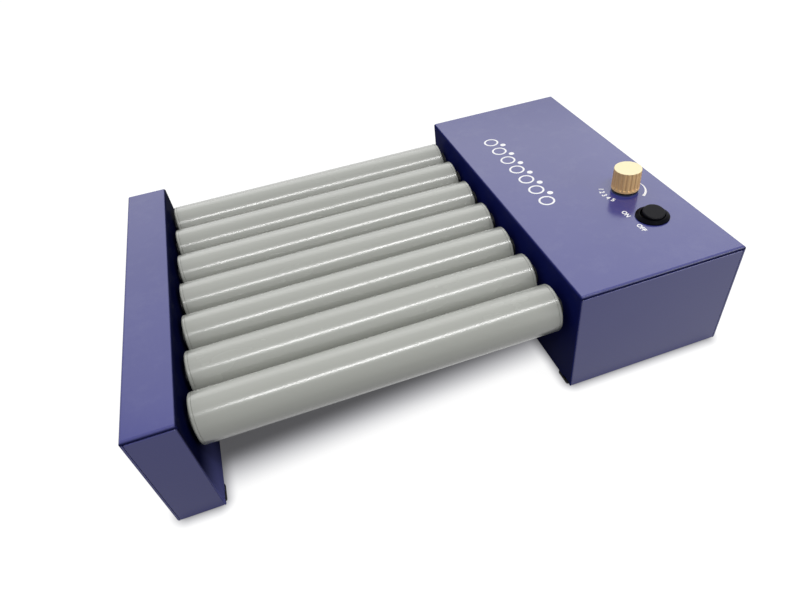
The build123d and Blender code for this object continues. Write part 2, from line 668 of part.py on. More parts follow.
def rocker():
    # Rests tilted, with its front half pressed down
    disc = rod_z(0, 0, -ROCKER_BELOW_PIVOT, ROCKER_ABOVE_PIVOT, ROCKER_DIAMETER / 2)
    disc = fillet(disc.edges().filter_by(GeomType.CIRCLE).sort_by(Axis.Z)[-1], ROCKER_EDGE_RADIUS)
    disc += rod_x(-PIVOT_PIN_REACH, PIVOT_PIN_REACH, 0, 0, PIVOT_PIN_DIAMETER / 2)
    return Pos(SWITCH_X, SWITCH_Y, PIVOT_Z) * Rot(ROCKER_TILT, 0, 0) * disc


# Mains inlet, fuse and control board


def inlet_well():
    outline = Rectangle(INLET_WELL_LENGTH, INLET_WELL_WIDTH)
    upper_corners = outline.vertices().sort_by(Axis.Y)[-2:]
    return chamfer(upper_corners, INLET_WELL_CHAMFER)


def power_inlet():
    flange = extrude(RectangleRounded(INLET_FLANGE_LENGTH, INLET_FLANGE_WIDTH, INLET_CORNER_RADIUS), INLET_FLANGE)
    body = Pos(0, 0, -INLET_BODY_DEPTH) * extrude(Rectangle(INLET_BODY_LENGTH, INLET_BODY_WIDTH), INLET_BODY_DEPTH)
    well = Pos(0, 0, INLET_FLANGE - INLET_WELL_DEPTH) * extrude(inlet_well(), INLET_WELL_DEPTH)
    # Drawn facing up, then turned to face the back
    return Pos(INLET_X, REAR_FACE, INLET_Z) * Rot(-90, 0, 0) * (flange + body - well)


def inlet_pins():
    foot = INLET_FLANGE - INLET_WELL_DEPTH
    pins = []
    for step in (-1, 0, 1):
        rise = INLET_PIN_OFFSET if step == 0 else -INLET_PIN_OFFSET
        blade = extrude(Rectangle(INLET_PIN_WIDTH, INLET_PIN_HEIGHT), INLET_PIN_STAND)
        pins.append(Pos(step * INLET_PIN_SPACING, rise, foot) * blade)
    place = Pos(INLET_X, REAR_FACE, INLET_Z) * Rot(-90, 0, 0)
    return Compound(children=[place * pin for pin in pins])


def fuse_holder():
    body = rod_y(FUSE_X, REAR_FACE, REAR_FACE + FUSE_CAP, INLET_Z, FUSE_CAP_DIAMETER / 2)
    body += rod_y(FUSE_X, REAR_FACE - FUSE_BODY_LENGTH, REAR_FACE, INLET_Z, FUSE_BODY_DIAMETER / 2)
    slot_start = REAR_FACE + FUSE_CAP - FUSE_SLOT_DEPTH
    half = FUSE_BODY_DIAMETER / 2
    return body - block(FUSE_X - half, FUSE_X + half, slot_start, REAR_FACE + FUSE_CAP,
                        INLET_Z - FUSE_SLOT_WIDTH / 2, INLET_Z + FUSE_SLOT_WIDTH / 2)


BOARD_X0 = RIGHT_INNER + BOARD_FROM_INNER_WALL
BOARD_X1 = BOARD_X0 + BOARD_LENGTH
BOARD_Y0 = FRONT + BOARD_FROM_FRONT
BOARD_Y1 = BOARD_Y0 + BOARD_WIDTH
BOARD_BASE = FLOOR_TOP + STANDOFF_HEIGHT
BOARD_TOP = BOARD_BASE + BOARD_THICKNESS


def control_board():
    # The board with what is soldered to it
    board = block(BOARD_X0, BOARD_X1, BOARD_Y0, BOARD_Y1, BOARD_BASE, BOARD_TOP)
    return board + board_capacitors() + heat_sink() + terminal_block()


def board_standoffs():
    posts = []
    for x in (BOARD_X0 + STANDOFF_INSET, BOARD_X1 - STANDOFF_INSET):
        for y in (BOARD_Y0 + STANDOFF_INSET, BOARD_Y1 - STANDOFF_INSET):
            posts.append(rod_z(x, y, FLOOR_TOP, BOARD_BASE, STANDOFF_DIAMETER / 2))
    return Compound(children=posts)


def board_capacitors():
    y = BOARD_Y0 + CAPACITOR_INSET
    cans = Part()
    for step in (0, 1):
        x = BOARD_X0 + CAPACITOR_INSET + step * CAPACITOR_SPACING
        cans += rod_z(x, y, BOARD_TOP, BOARD_TOP + CAPACITOR_HEIGHT, CAPACITOR_DIAMETER / 2)
    return cans


def heat_sink():
    x1 = BOARD_X1 - SINK_INSET
    x0 = x1 - SINK_LENGTH
    y0 = BOARD_Y0 + SINK_INSET
    sink = block(x0, x1, y0, y0 + SINK_WIDTH, BOARD_TOP, BOARD_TOP + SINK_BASE)
    step = (SINK_WIDTH - SINK_FIN) / (SINK_FINS - 1)
    for fin in range(SINK_FINS):
        y = y0 + fin * step
        sink += block(x0, x1, y, y + SINK_FIN, BOARD_TOP, BOARD_TOP + SINK_HEIGHT)
    return sink


def terminal_block():
    x0 = BOARD_X0 + (BOARD_LENGTH - TERMINAL_LENGTH) / 2
    y1 = BOARD_Y1 - TERMINAL_INSET
    y0 = y1 - TERMINAL_WIDTH
    body = block(x0, x0 + TERMINAL_LENGTH, y0, y1, BOARD_TOP, BOARD_TOP + TERMINAL_HEIGHT)
    step = TERMINAL_LENGTH / TERMINAL_WAYS
    half = TERMINAL_HOLE / 2
    for way in range(TERMINAL_WAYS):
        x = x0 + (way + 0.5) * step
        body -= block(x - half, x + half, y1 - TERMINAL_WIDTH / 2, y1,
                      BOARD_TOP + half, BOARD_TOP + half + TERMINAL_HOLE)
    return body


def all_parts():
    parts = {
        "left_shell": left_shell(),
        "left_front_panel": front_panel(LEFT_OUTER, LEFT_INNER),
        "left_rear_panel": rear_panel(LEFT_OUTER, LEFT_INNER),
        "left_floor": floor_plate(LEFT_OUTER, LEFT_INNER),
        "left_bearing_rail": rail(LEFT_INNER - SHEET - RAIL_THICKNESS, LEFT_INNER - SHEET),
        "right_shell": right_shell(),
        "right_front_panel": front_panel(RIGHT_INNER, RIGHT_OUTER),
        "right_rear_panel": right_rear_panel(),
        "right_floor": floor_plate(RIGHT_INNER, RIGHT_OUTER),
        "right_bearing_rail": rail(RIGHT_INNER + SHEET, RIGHT_INNER + SHEET + RAIL_THICKNESS),
        "axle_bushes": bushes(),
        "bridge_tray": tray(),
        "feet": feet(),
        "floor_screws": floor_screws(),
        "roller_belts": roller_belts(),
        "motor_belt": motor_belt(),
        "gear_motor": gear_motor(),
        "motor_bracket": motor_bracket(),
        "motor_shaft": motor_shaft(),
        "motor_pulley": motor_pulley(),
        "control_body": control_body(),
        "control_nut": control_nut(),
        "control_shaft": control_shaft(),
        "knob": knob(),
        "switch_body": switch_body(),
        "rocker": rocker(),
        "power_inlet": power_inlet(),
        "inlet_pins": inlet_pins(),
        "fuse_holder": fuse_holder(),
        "control_board": control_board(),
        "board_standoffs": board_standoffs(),
    }
    for index in range(1, ROLLER_COUNT + 1):
        y = roller_y(index)
        parts[f"roller_{index}_tube"] = roller_tube(y)
        parts[f"roller_{index}_caps"] = roller_caps(y)
        parts[f"roller_{index}_axle"] = roller_axle(index)
        parts[f"roller_{index}_pulley"] = roller_pulley(index)
    return parts


def main():
    os.makedirs("parts", exist_ok=True)
    for name, shape in all_parts().items():
        export_step(shape, f"parts/{name}.step")


main()
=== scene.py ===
import json
import math

import bmesh
import bpy
import numpy as np
from mathutils import Matrix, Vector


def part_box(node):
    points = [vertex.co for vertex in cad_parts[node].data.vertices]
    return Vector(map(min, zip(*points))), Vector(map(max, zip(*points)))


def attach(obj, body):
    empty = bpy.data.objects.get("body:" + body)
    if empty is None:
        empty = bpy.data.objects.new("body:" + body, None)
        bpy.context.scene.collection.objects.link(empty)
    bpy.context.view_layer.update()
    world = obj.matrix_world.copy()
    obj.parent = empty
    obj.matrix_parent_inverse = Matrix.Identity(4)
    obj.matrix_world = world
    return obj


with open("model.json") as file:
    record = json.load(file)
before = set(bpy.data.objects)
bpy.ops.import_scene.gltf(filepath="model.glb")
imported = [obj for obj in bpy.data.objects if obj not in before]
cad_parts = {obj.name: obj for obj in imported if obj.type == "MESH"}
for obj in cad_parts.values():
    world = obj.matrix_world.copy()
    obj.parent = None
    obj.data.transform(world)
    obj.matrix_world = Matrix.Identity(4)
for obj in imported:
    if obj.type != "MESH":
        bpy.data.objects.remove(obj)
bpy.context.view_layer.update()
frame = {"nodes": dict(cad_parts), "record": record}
mm = 0.001
nodes = frame["nodes"]
print("frame loaded:", len(nodes), "nodes")


def cornersOf(node):
    # Lowest and highest corner of a node, as two arrays in metres
    low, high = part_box(node)
    return np.array(low), np.array(high)


leftLow, leftHigh = cornersOf("left_shell")
rightLow, rightHigh = cornersOf("right_shell")
knobLow, knobHigh = cornersOf("knob")
inletLow, inletHigh = cornersOf("power_inlet")
topHeight = rightHigh[2]
knobMiddle = (knobLow + knobHigh) / 2
inletMiddle = (inletLow + inletHigh) / 2


# Small helpers for node trees


def setOrLink(tree, value, socket):
    # A number or a tuple is set on the input, and a socket is linked to it
    if isinstance(value, (int, float, tuple)):
        socket.default_value = value
    else:
        tree.links.new(value, socket)


def addMath(tree, operation, first, second=None, clamp=False):
    # One math node; each operand is a socket or a number
    node = tree.nodes.new("ShaderNodeMath")
    node.operation = operation
    node.use_clamp = clamp
    setOrLink(tree, first, node.inputs[0])
    if second is not None:
        setOrLink(tree, second, node.inputs[1])
    return node.outputs[0]


def addNoise(tree, vector, scale, detail, roughness):
    # Perlin noise between 0 and 1, about 0.5 on average
    node = tree.nodes.new("ShaderNodeTexNoise")
    node.inputs["Detail"].default_value = detail
    node.inputs["Roughness"].default_value = roughness
    tree.links.new(vector, node.inputs["Vector"])
    setOrLink(tree, scale, node.inputs["Scale"])
    return node.outputs["Fac"]


def addRange(tree, value, low, high, newLow, newHigh):
    # Smooth step from low..high to newLow..newHigh
    node = tree.nodes.new("ShaderNodeMapRange")
    node.interpolation_type = "SMOOTHSTEP"
    tree.links.new(value, node.inputs["Value"])
    ends = {"From Min": low, "From Max": high, "To Min": newLow, "To Max": newHigh}
    for label, number in ends.items():
        setOrLink(tree, number, node.inputs[label])
    return node.outputs["Result"]


def splitAxes(tree, vector):
    # The X, Y and Z of a vector
    node = tree.nodes.new("ShaderNodeSeparateXYZ")
    tree.links.new(vector, node.inputs[0])
    return node.outputs


def mixColour(tree, amount, first, second):
    # first..second by amount; each colour is a socket or a triple
    node = tree.nodes.new("ShaderNodeMix")
    node.data_type = "RGBA"
    setOrLink(tree, amount, node.inputs["Factor"])
    for label, value in (("A", first), ("B", second)):
        socket = [item for item in node.inputs if item.name == label and item.type == "RGBA"][0]
        setOrLink(tree, (*value, 1.0) if isinstance(value, tuple) else value, socket)
    return [item for item in node.outputs if item.type == "RGBA"][0]


def newGroup(name, inputs, outputs):
    # An empty shader group whose sockets are listed as (label, kind, value)
    group = bpy.data.node_groups.new(name, "ShaderNodeTree")
    for label, kind, value in inputs:
        socket = group.interface.new_socket(name=label, in_out="INPUT", socket_type=kind)
        if value is not None:
            socket.default_value = value
    for label, kind in outputs:
        group.interface.new_socket(name=label, in_out="OUTPUT", socket_type=kind)
    return group, group.nodes.new("NodeGroupInput"), group.nodes.new("NodeGroupOutput")


def placeGroup(tree, group, values):
    # A group node; each input named in values is set or linked
    node = tree.nodes.new("ShaderNodeGroup")
    node.node_tree = group
    for label, value in values.items():
        setOrLink(tree, value, node.inputs[label])
    return node


# Node groups that several finishes share

# Detail and roughness of each noise
noiseDetail = {"grain": (2.0, 0.5), "patch": (3.0, 0.55), "dust": (6.0, 0.7)}
# Noise values between which the patches change their tone and their roughness, and the dust gathers
toneBand = (0.3, 0.7)
roughBand = (0.25, 0.75)
dustBand = (0.45, 0.75)


def makeGrainGroup():
    # Fine noise for the bump and broad noise for patches, both of the place times Stretch, so that a
    # share under 1 draws the pattern out along its axis
    group, inside, outside = newGroup(
        "surfaceGrain",
        [("Vector", "NodeSocketVector", None), ("Stretch", "NodeSocketVector", (1.0, 1.0, 1.0)),
         ("Grain Scale", "NodeSocketFloat", 900.0), ("Patch Scale", "NodeSocketFloat", 14.0)],
        [("Grain", "NodeSocketFloat"), ("Patch", "NodeSocketFloat")])
    squeeze = group.nodes.new("ShaderNodeVectorMath")
    squeeze.operation = "MULTIPLY"
    group.links.new(inside.outputs["Vector"], squeeze.inputs[0])
    group.links.new(inside.outputs["Stretch"], squeeze.inputs[1])
    grain = addNoise(group, squeeze.outputs[0], inside.outputs["Grain Scale"], *noiseDetail["grain"])
    patch = addNoise(group, squeeze.outputs[0], inside.outputs["Patch Scale"], *noiseDetail["patch"])
    group.links.new(grain, outside.inputs["Grain"])
    group.links.new(patch, outside.inputs["Patch"])
    return group


def makeEdgeGroup():
    # Distance to the second nearest face of a box, which a smooth step turns into a line at its edges
    group, inside, outside = newGroup(
        "boxEdges",
        [("Vector", "NodeSocketVector", None), ("Middle", "NodeSocketVector", (0.0, 0.0, 0.0)),
         ("Half Size", "NodeSocketVector", (0.1, 0.1, 0.1)), ("Width", "NodeSocketFloat", 0.001)],
        [("Line", "NodeSocketFloat")])
    vectors = []
    for operation in ("SUBTRACT", "ABSOLUTE", "SUBTRACT"):
        node = group.nodes.new("ShaderNodeVectorMath")
        node.operation = operation
        vectors.append(node)
    offset, size, depth = vectors
    group.links.new(inside.outputs["Vector"], offset.inputs[0])
    group.links.new(inside.outputs["Middle"], offset.inputs[1])
    group.links.new(offset.outputs[0], size.inputs[0])
    group.links.new(inside.outputs["Half Size"], depth.inputs[0])
    group.links.new(size.outputs[0], depth.inputs[1])
    x, y, z = splitAxes(group, depth.outputs[0])
    # The middle one of three numbers: max(min(x, y), min(max(x, y), z))
    lesser = addMath(group, "MINIMUM", x, y)
    greater = addMath(group, "MAXIMUM", x, y)
    middle = addMath(group, "MAXIMUM", lesser, addMath(group, "MINIMUM", greater, z))
    line = addRange(group, middle, 0.0, inside.outputs["Width"], 1.0, 0.0)
    group.links.new(line, outside.inputs["Line"])
    return group


def makeDustGroup():
    # Thin dust where the surface faces up, in spots: the normal's z, the amount and a noise, multiplied
    group, inside, outside = newGroup(
        "settledDust",
        [("Vector", "NodeSocketVector", None), ("Normal", "NodeSocketVector", (0.0, 0.0, 1.0)),
         ("Scale", "NodeSocketFloat", 60.0), ("Amount", "NodeSocketFloat", 0.1)],
        [("Dust", "NodeSocketFloat")])
    normal = splitAxes(group, inside.outputs["Normal"])
    up = addMath(group, "MULTIPLY", normal["Z"], inside.outputs["Amount"], True)
    noise = addNoise(group, inside.outputs["Vector"], inside.outputs["Scale"], *noiseDetail["dust"])
    spots = addRange(group, noise, *dustBand, 0.0, 1.0)
    group.links.new(addMath(group, "MULTIPLY", up, spots), outside.inputs["Dust"])
    return group


# The seam's shade: how far down from the top it begins and is full, then fades and is gone, how deep
# behind the front it fades, and how far a face may turn sideways before it has none
seamShape = {"fall": (0.1 * mm, 1.5 * mm), "rise": (2.1 * mm, 3.1 * mm), "depth": (3.0 * mm, 4.0 * mm),
             "sideways": (0.4, 0.7)}


def makeSeamGroup():
    # Shade in the seam under a front fold: four smooth steps multiplied, two of the drop from the top,
    # one of the depth behind the front and one of the size of the normal's x
    group, inside, outside = newGroup(
        "foldSeamShade",
        [("Vector", "NodeSocketVector", None), ("Normal", "NodeSocketVector", (0.0, -1.0, 0.0)),
         ("Top", "NodeSocketFloat", 0.085), ("Front", "NodeSocketFloat", -0.1325)],
        [("Shade", "NodeSocketFloat")])
    place = splitAxes(group, inside.outputs["Vector"])
    normal = splitAxes(group, inside.outputs["Normal"])
    drop = addMath(group, "SUBTRACT", inside.outputs["Top"], place["Z"])
    depth = addMath(group, "SUBTRACT", place["Y"], inside.outputs["Front"])
    sideways = addMath(group, "ABSOLUTE", normal["X"])
    shade = addMath(group, "MULTIPLY", addRange(group, drop, *seamShape["fall"], 0.0, 1.0),
                    addRange(group, drop, *seamShape["rise"], 1.0, 0.0))
    for value, band in ((depth, "depth"), (sideways, "sideways")):
        shade = addMath(group, "MULTIPLY", shade, addRange(group, value, *seamShape[band], 1.0, 0.0))
    group.links.new(shade, outside.inputs["Shade"])
    return group


# How far from the flat of the wall its painted shade begins to fade, and is gone
wallFade = (0.4 * mm, 1.6 * mm)


def makeWallGroup():
    # Wall, the mask of the painted shade, is 1 on the flat face at Wall X and fades off round its
    # bends.
    # Open, the mask of the painted light at the wall's low front corner, rises to 1 towards that
    # corner:
    # a smooth step of the depth behind the front, times one of the height
    group, inside, outside = newGroup(
        "rollerWallShade",
        [("Vector", "NodeSocketVector", None), ("Wall X", "NodeSocketFloat", 0.0),
         ("Front", "NodeSocketFloat", -0.1325), ("Near Depth", "NodeSocketFloat", 0.004),
         ("Far Depth", "NodeSocketFloat", 0.06), ("Low Height", "NodeSocketFloat", 0.006),
         ("High Height", "NodeSocketFloat", 0.06)],
        [("Wall", "NodeSocketFloat"), ("Open", "NodeSocketFloat")])
    place = splitAxes(group, inside.outputs["Vector"])
    away = addMath(group, "ABSOLUTE", addMath(group, "SUBTRACT", place["X"], inside.outputs["Wall X"]))
    group.links.new(addRange(group, away, *wallFade, 1.0, 0.0), outside.inputs["Wall"])
    depth = addMath(group, "SUBTRACT", place["Y"], inside.outputs["Front"])
    near = addRange(group, depth, inside.outputs["Near Depth"], inside.outputs["Far Depth"], 1.0, 0.0)
    low = addRange(group, place["Z"], inside.outputs["Low Height"], inside.outputs["High Height"],
                   1.0, 0.0)
    group.links.new(addMath(group, "MULTIPLY", near, low), outside.inputs["Open"])
    return group


grainGroup = makeGrainGroup()
edgeGroup = makeEdgeGroup()
dustGroup = makeDustGroup()
seamGroup = makeSeamGroup()
wallGroup = makeWallGroup()
print("shared node groups made")


# Finishes


def startMaterial(name):
    # A material with its tree, its shader and the place on the object
    material = bpy.data.materials.new(name)
    material.use_nodes = True
    tree = material.node_tree
    shader = tree.nodes["Principled BSDF"]
    place = tree.nodes.new("ShaderNodeTexCoord").outputs["Object"]
    return material, tree, shader, place


def addBump(tree, shader, height, strength, depth=0.4 * mm):
    # Bump from a height between 0 and 1, where 1 stands the depth above 0
    bump = tree.nodes.new("ShaderNodeBump")
    bump.inputs["Strength"].default_value = strength
    bump.inputs["Distance"].default_value = depth
    tree.links.new(height, bump.inputs["Height"])
    tree.links.new(bump.outputs["Normal"], shader.inputs["Normal"])


def patchColour(tree, patch, look):
    # The first colour passes into the second as the patch noise crosses the tone band
    return mixColour(tree, addRange(tree, patch, *toneBand, 0.0, 1.0), look["colour"], look["colour2"])


def patchRoughness(tree, shader, patch, look):
    # Roughness follows the patch noise across the rough band
    tree.links.new(addRange(tree, patch, *roughBand, *look["roughness"]), shader.inputs["Roughness"])


def plainFinish(name, look):
    # Two tones in patches, a roughness that follows the same patches, and a bump from the grain
    material, tree, shader, place = startMaterial(name)
    grain = placeGroup(tree, grainGroup, {
        "Vector": place, "Stretch": look["stretch"], "Grain Scale": look["grainScale"],
        "Patch Scale": look["patchScale"]})
    tree.links.new(patchColour(tree, grain.outputs["Patch"], look), shader.inputs["Base Color"])
    patchRoughness(tree, shader, grain.outputs["Patch"], look)
    shader.inputs["Metallic"].default_value = look["metallic"]
    shader.inputs["Specular IOR Level"].default_value = look["specular"]
    shader.inputs["Coat Weight"].default_value = look["coat"]
    shader.inputs["Coat Roughness"].default_value = look["coatRoughness"]
    addBump(tree, shader, grain.outputs["Grain"], look["bump"])
    return material


def plainLook(colour, colour2, roughness, metallic=0.0, coat=0.0, bump=0.1, grainScale=900.0,
              stretch=(1.0, 1.0, 1.0), specular=0.5):
    # One plain finish: two tones, the lowest and highest roughness, and what differs from the usual
    return {"colour": colour, "colour2": colour2, "roughness": roughness, "metallic": metallic,
            "coat": coat, "coatRoughness": 0.1, "bump": bump, "grainScale": grainScale,
            "patchScale": 14.0, "stretch": stretch, "specular": specular}


plainLooks = {
    "floor_paint": plainLook((0.012, 0.012, 0.016), (0.02, 0.02, 0.026), (0.4, 0.5), bump=0.12),
    "bearing_steel": plainLook((0.42, 0.42, 0.43), (0.5, 0.5, 0.5), (0.3, 0.42), 1.0,
                               stretch=(1.0, 0.05, 1.0)),
    "bush_nylon": plainLook((0.012, 0.012, 0.014), (0.02, 0.02, 0.022), (0.45, 0.55)),
    "axle_steel": plainLook((0.62, 0.62, 0.62), (0.7, 0.7, 0.69), (0.16, 0.26), 1.0,
                            stretch=(0.08, 1.0, 1.0)),
    "pulley_plastic": plainLook((0.02, 0.02, 0.02), (0.032, 0.032, 0.034), (0.4, 0.52)),
    "belt_rubber": plainLook((0.01, 0.01, 0.01), (0.018, 0.018, 0.018), (0.6, 0.75), bump=0.25),
    "motor_case": plainLook((0.45, 0.45, 0.46), (0.53, 0.53, 0.54), (0.28, 0.4), 1.0,
                            stretch=(1.0, 0.1, 0.1)),
    "nut_metal": plainLook((0.10, 0.11, 0.14), (0.15, 0.16, 0.19), (0.25, 0.36), 1.0),
    "control_case": plainLook((0.4, 0.4, 0.4), (0.48, 0.48, 0.48), (0.3, 0.42), 1.0),
    "inlet_plastic": plainLook((0.012, 0.012, 0.013), (0.019, 0.019, 0.021), (0.38, 0.5), bump=0.2),
    "pin_brass": plainLook((0.62, 0.46, 0.18), (0.72, 0.54, 0.24), (0.2, 0.32), 1.0),
    "board_laminate": plainLook((0.015, 0.10, 0.04), (0.02, 0.14, 0.06), (0.3, 0.42), coat=0.3),
    "foot_rubber": plainLook((0.012, 0.012, 0.012), (0.022, 0.022, 0.022), (0.65, 0.8), bump=0.3),
    "screw_steel": plainLook((0.5, 0.5, 0.5), (0.6, 0.6, 0.59), (0.2, 0.34), 1.0),
    "switch_plastic": plainLook((0.004, 0.004, 0.006), (0.007, 0.007, 0.009), (0.3, 0.38), bump=0.06,
                                grainScale=2600.0, specular=0.1),
    "bezel_plastic": plainLook((0.002, 0.002, 0.004), (0.004, 0.004, 0.006), (0.26, 0.34), bump=0.04,
                               grainScale=2600.0, specular=0.03),
    "print_ink": plainLook((0.80, 0.80, 0.82), (0.88, 0.88, 0.89), (0.45, 0.55), bump=0.15,
                           grainScale=2500.0),
}

paint = {
    "colour": (0.033, 0.036, 0.198), "colour2": (0.039, 0.042, 0.212), "roughness": (0.34, 0.42),
    "grainScale": 700.0, "patchScale": 9.0, "bump": 0.05,
    # The paler edge colour is a painted highlight along the housing's edges
    "edgeHighlightColour": (0.09, 0.10, 0.29), "edgeWidth": 1.0 * mm, "edgeHighlightAmount": 0.15,
    "dustColour": (0.30, 0.31, 0.40), "dustScale": 45.0, "dustAmount": 0.05,
    # The seam colour and its weaker coat are painted shade in the seam under the front fold
    "seamShadeColour": (0.008, 0.010, 0.060), "seamShadeCoat": 0.1,
    # The left housing's weaker coat is painted shade: it dims that housing's reflection
    "coat": {"left": 0.75, "right": 1.0}, "coatRoughness": 0.18, "coatIor": 1.65,
}
# Each wall that faces the rollers: its painted shade colour and its dimmed gloss deep among the
# rollers, the painted light colour at its low front corner, and the depths and heights between which
# one passes into the other
innerWallShades = {
    "left": {"colour": (0.002, 0.003, 0.022), "coat": 0.03, "litCornerColour": (0.11, 0.117, 0.34),
             "nearDepth": 4.0 * mm, "farDepth": 60.0 * mm,
             "lowHeight": 6.0 * mm, "highHeight": 52.0 * mm},
    "right": {"colour": (0.007, 0.010, 0.090), "coat": 0.04, "litCornerColour": (0.009, 0.013, 0.105),
              "nearDepth": 10.0 * mm, "farDepth": 60.0 * mm,
              "lowHeight": 20.0 * mm, "highHeight": 60.0 * mm},
}


def paintFinish(name, low, high, wallX, side):
    # Stoved paint: an orange-peel bump, a painted highlight in paler thin edges, and painted shade,
    # deeper and duller, on the wall towards the rollers and in the seam under the front fold
    material, tree, shader, place = startMaterial(name)
    wallLook = innerWallShades[side]
    normal = tree.nodes.new("ShaderNodeNewGeometry").outputs["Normal"]
    front = float(low[1])
    grain = placeGroup(tree, grainGroup, {
        "Vector": place, "Grain Scale": paint["grainScale"], "Patch Scale": paint["patchScale"]})
    edge = placeGroup(tree, edgeGroup, {
        "Vector": place, "Middle": tuple((low + high) / 2), "Half Size": tuple((high - low) / 2),
        "Width": paint["edgeWidth"]})
    dust = placeGroup(tree, dustGroup, {
        "Vector": place, "Normal": normal, "Scale": paint["dustScale"], "Amount": paint["dustAmount"]})
    seam = placeGroup(tree, seamGroup, {
        "Vector": place, "Normal": normal, "Top": float(high[2]), "Front": front})
    wall = placeGroup(tree, wallGroup, {
        "Vector": place, "Wall X": float(wallX), "Front": front, "Near Depth": wallLook["nearDepth"],
        "Far Depth": wallLook["farDepth"], "Low Height": wallLook["lowHeight"],
        "High Height": wallLook["highHeight"]})
    # Painted shade on the wall towards the rollers, with painted light at its low front corner
    wallShadeColour = mixColour(tree, wall.outputs["Open"], wallLook["colour"], wallLook["litCornerColour"])
    edgeHighlightAmount = addMath(tree, "MULTIPLY", edge.outputs["Line"], paint["edgeHighlightAmount"])
    colour = patchColour(tree, grain.outputs["Patch"], paint)
    colour = mixColour(tree, edgeHighlightAmount, colour, paint["edgeHighlightColour"])
    colour = mixColour(tree, wall.outputs["Wall"], colour, wallShadeColour)
    # Painted shade in the seam under the front fold
    colour = mixColour(tree, seam.outputs["Shade"], colour, paint["seamShadeColour"])
    colour = mixColour(tree, dust.outputs["Dust"], colour, paint["dustColour"])
    tree.links.new(colour, shader.inputs["Base Color"])
    patchRoughness(tree, shader, grain.outputs["Patch"], paint)
    # All the gloss is in the clear coat, so that the painted shade can dim it on the inner wall
    # and in the seam
    shader.inputs["Specular IOR Level"].default_value = 0.0
    coat = addRange(tree, wall.outputs["Wall"], 0.0, 1.0, paint["coat"][side], wallLook["coat"])
    seamShadeCoat = addRange(tree, seam.outputs["Shade"], 0.0, 1.0, 1.0, paint["seamShadeCoat"])
    tree.links.new(addMath(tree, "MULTIPLY", coat, seamShadeCoat), shader.inputs["Coat Weight"])
    shader.inputs["Coat Roughness"].default_value = paint["coatRoughness"]
    shader.inputs["Coat IOR"].default_value = paint["coatIor"]
    addBump(tree, shader, grain.outputs["Grain"], paint["bump"])
    return material


rollerLook = {
    "colour": (0.325, 0.333, 0.305), "colour2": (0.355, 0.363, 0.335), "roughness": (0.20, 0.28),
    "coat": 0.85, "coatRoughness": 0.18, "bump": 0.02, "bumpDepth": 0.3 * mm,
    "lineStretch": (0.03, 1.0, 1.0), "lineScale": 420.0, "linePatch": 40.0,
    "scuffStretch": (0.4, 1.0, 1.0), "scuffScale": 260.0, "scuffPatch": 22.0,
    "scuffColour": (0.42, 0.425, 0.40), "scuffGrainBand": (0.62, 0.74), "scuffPatchBand": (0.5, 0.65),
    "scuffAmount": 0.07, "scuffRoughness": 0.4,
}


def rollerFinish(name):
    # Extruded plastic: long faint draw lines, a few scuffs where both noises are high, a glossy skin
    material, tree, shader, place = startMaterial(name)
    lines = placeGroup(tree, grainGroup, {
        "Vector": place, "Stretch": rollerLook["lineStretch"], "Grain Scale": rollerLook["lineScale"],
        "Patch Scale": rollerLook["linePatch"]})
    scuffs = placeGroup(tree, grainGroup, {
        "Vector": place, "Stretch": rollerLook["scuffStretch"], "Grain Scale": rollerLook["scuffScale"],
        "Patch Scale": rollerLook["scuffPatch"]})
    grainMarks = addRange(tree, scuffs.outputs["Grain"], *rollerLook["scuffGrainBand"], 0.0, 1.0)
    patchMarks = addRange(tree, scuffs.outputs["Patch"], *rollerLook["scuffPatchBand"], 0.0,
                          rollerLook["scuffAmount"])
    marks = addMath(tree, "MULTIPLY", grainMarks, patchMarks)
    colour = patchColour(tree, lines.outputs["Patch"], rollerLook)
    colour = mixColour(tree, marks, colour, rollerLook["scuffColour"])
    tree.links.new(colour, shader.inputs["Base Color"])
    rough = addRange(tree, scuffs.outputs["Patch"], *toneBand, *rollerLook["roughness"])
    rougher = addMath(tree, "MULTIPLY", marks, rollerLook["scuffRoughness"])
    tree.links.new(addMath(tree, "ADD", rough, rougher), shader.inputs["Roughness"])
    shader.inputs["Coat Weight"].default_value = rollerLook["coat"]
    shader.inputs["Coat Roughness"].default_value = rollerLook["coatRoughness"]
    addBump(tree, shader, lines.outputs["Grain"], rollerLook["bump"], rollerLook["bumpDepth"])
    return material


# The top colour is a painted highlight on the knob's top
knobLook = {
    "topHighlightColour": (0.84, 0.74, 0.46), "colour": (0.79, 0.51, 0.225), "colour2": (0.83, 0.55, 0.255),
    "roughness": (0.34, 0.42), "grainScale": 1500.0, "patchScale": 30.0, "bump": 0.08,
    "upBand": (0.2, 0.95), "paleFrom": 2.5 * mm, "paleFull": 0.8 * mm,
}


def knobFinish(name):
    # Cream moulding, amber on its sides, with a painted highlight that turns it pale on top: a smooth
    # step of the normal's z, times one of the height over the last millimetres under the top
    material, tree, shader, place = startMaterial(name)
    grain = placeGroup(tree, grainGroup, {
        "Vector": place, "Grain Scale": knobLook["grainScale"], "Patch Scale": knobLook["patchScale"]})
    normal = splitAxes(tree, tree.nodes.new("ShaderNodeNewGeometry").outputs["Normal"])
    knobTop = float(knobHigh[2])
    facing = addRange(tree, normal["Z"], *knobLook["upBand"], 0.0, 1.0)
    near = addRange(tree, splitAxes(tree, place)["Z"], knobTop - knobLook["paleFrom"],
                    knobTop - knobLook["paleFull"], 0.0, 1.0)
    side = patchColour(tree, grain.outputs["Patch"], knobLook)
    colour = mixColour(tree, addMath(tree, "MULTIPLY", facing, near), side, knobLook["topHighlightColour"])
    tree.links.new(colour, shader.inputs["Base Color"])
    patchRoughness(tree, shader, grain.outputs["Patch"], knobLook)
    addBump(tree, shader, grain.outputs["Grain"], knobLook["bump"])
    return material


